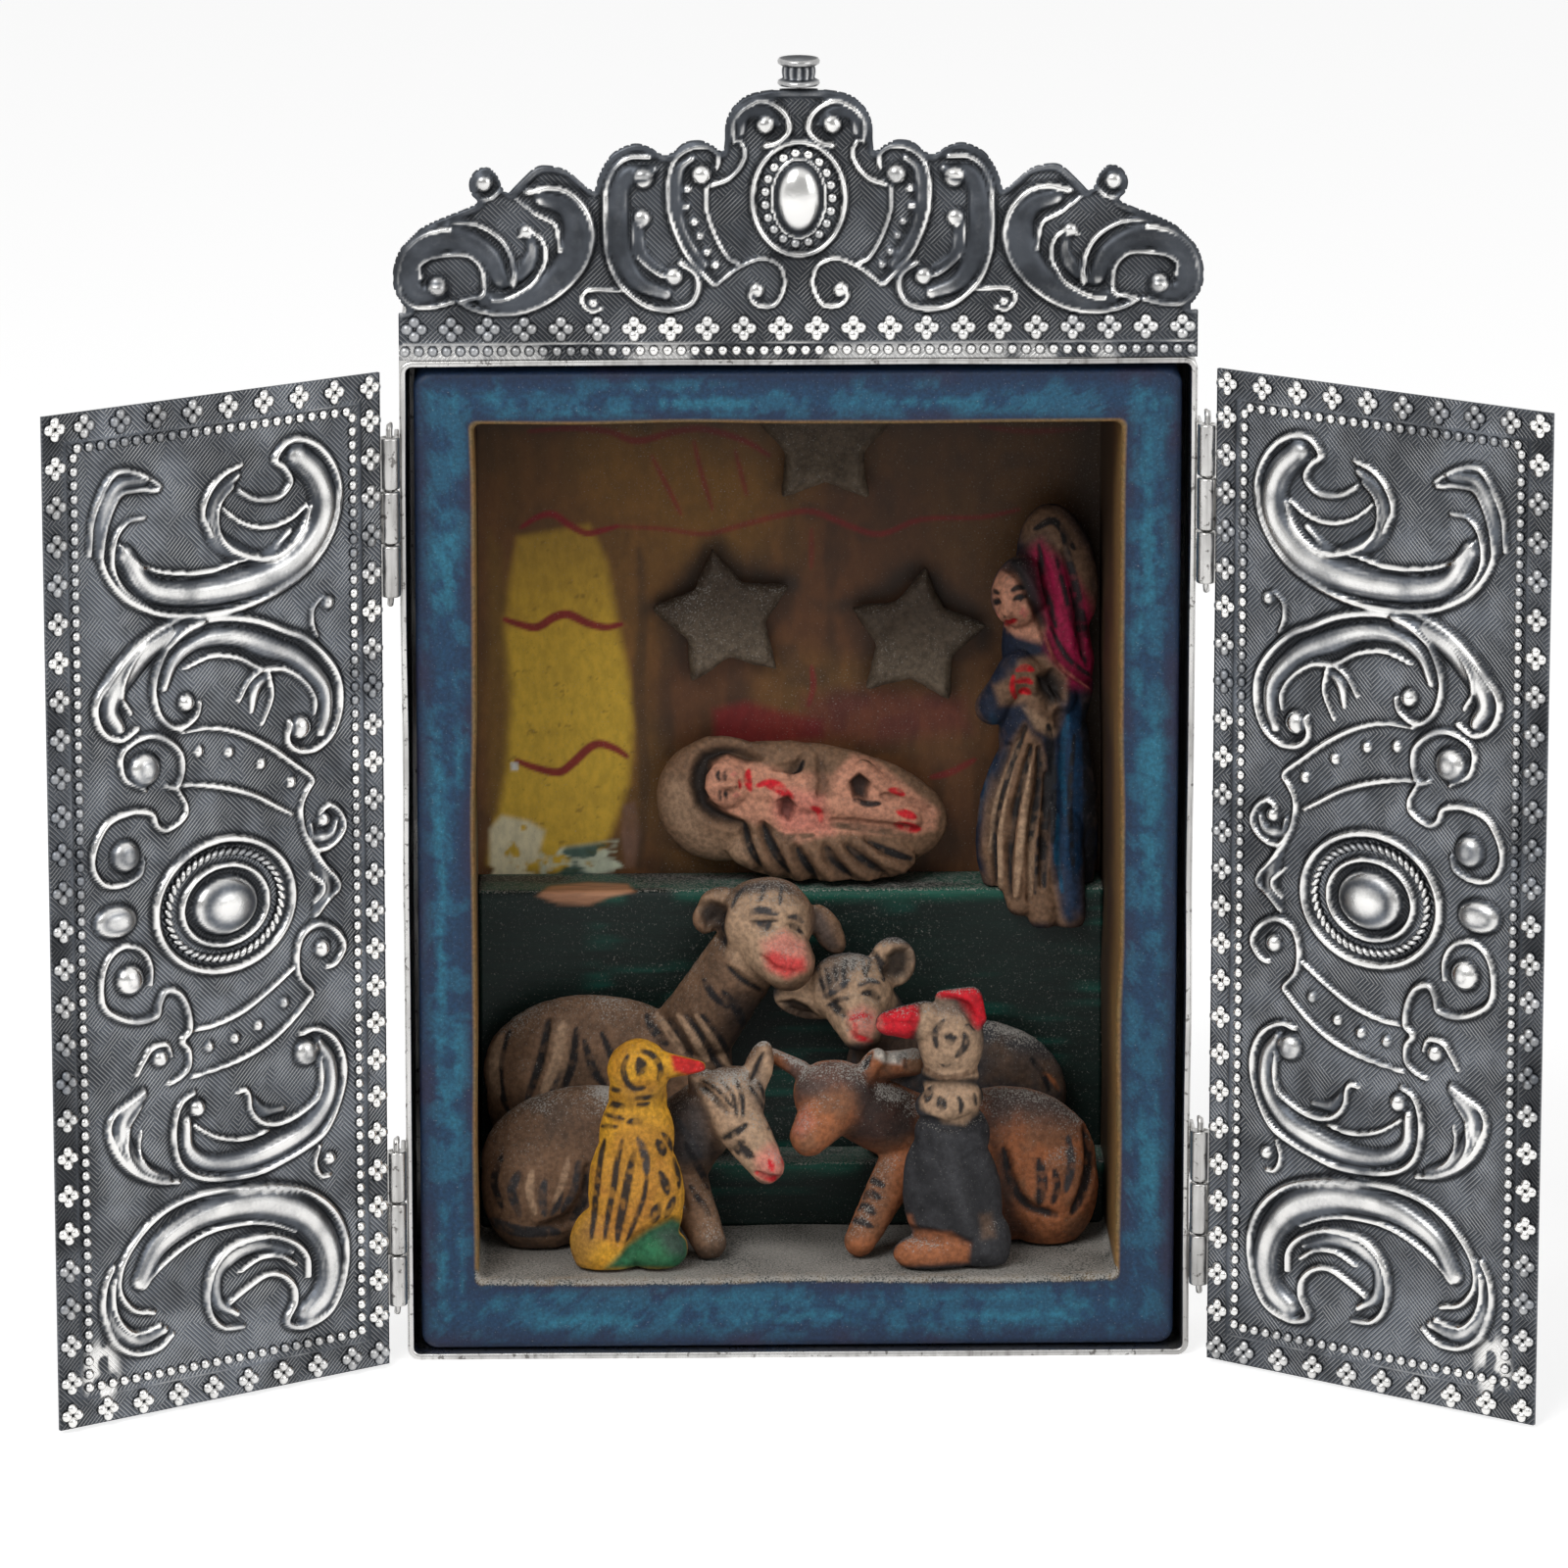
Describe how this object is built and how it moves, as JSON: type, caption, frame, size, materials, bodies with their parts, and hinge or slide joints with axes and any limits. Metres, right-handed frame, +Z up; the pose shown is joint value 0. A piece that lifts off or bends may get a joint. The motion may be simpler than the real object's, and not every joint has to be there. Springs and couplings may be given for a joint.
{
  "type": "silver nativity scene",
  "caption": "Small silver altar case with an embossed crest, two embossed doors on wire hinges, and a painted niche holding clay nativity figures on two steps.",
  "frame": {"origin": "centre of the case's bottom face, on the surface that it stands on", "axes": "+Z up, front of the case towards -Y, +X to the viewer's right"},
  "size_m": [0.1854, 0.0811, 0.1687],
  "materials": {
    "embossed_silver": "embossed silver, oxidised in the hollows and polished on the ridges",
    "plain_silver": "plain silver sheet, hand finished and slightly tarnished",
    "blue_rim": "streaky blue paint on plastered wood",
    "painted_wall": "brown and yellow paint with dark red wavy lines",
    "green_steps": "dark green paint, dusty",
    "painted_clay": "matt painted clay, dusty"
  },
  "bodies": {
    "case": {"case_side_band": "plain_silver", "case_back_plate": "plain_silver", "crest_plate": "embossed_silver", "crest_finial": "embossed_silver", "niche_bottom_board": "blue_rim", "niche_top_board": "blue_rim", "niche_left_board": "blue_rim", "niche_right_board": "blue_rim", "niche_back_board": "painted_wall", "upper_shelf": "green_steps", "lower_step": "green_steps", "star_left": "painted_clay", "star_right": "painted_clay", "star_top": "painted_clay", "ox_back_left": "painted_clay", "donkey_back_right": "painted_clay", "calf_front_left": "painted_clay", "bull_front_right": "painted_clay", "yellow_bird": "painted_clay", "black_rooster": "painted_clay", "infant_in_cradle": "painted_clay", "mother_figure": "painted_clay", "left_lower_bottom_knuckle": "plain_silver", "left_lower_top_knuckle": "plain_silver", "left_upper_bottom_knuckle": "plain_silver", "left_upper_top_knuckle": "plain_silver", "right_lower_bottom_knuckle": "plain_silver", "right_lower_top_knuckle": "plain_silver", "right_upper_bottom_knuckle": "plain_silver", "right_upper_top_knuckle": "plain_silver", "left_lower_pin": "plain_silver", "left_upper_pin": "plain_silver", "right_lower_pin": "plain_silver", "right_upper_pin": "plain_silver"},
    "left_door": {"left_door": "embossed_silver"},
    "right_door": {"right_door": "embossed_silver"}
  },
  "joints": [
    {"name": "left_door_hinge", "type": "hinge", "parent": "case", "child": "left_door", "pos_m": [-0.0514, -0.0252, 0.065], "axis": [0, 0, 1], "range_deg": [-114.7, 145.3]},
    {"name": "right_door_hinge", "type": "hinge", "parent": "case", "child": "right_door", "pos_m": [0.0514, -0.0252, 0.065], "axis": [0, 0, 1], "range_deg": [-141.7, 118.3]}
  ]
}
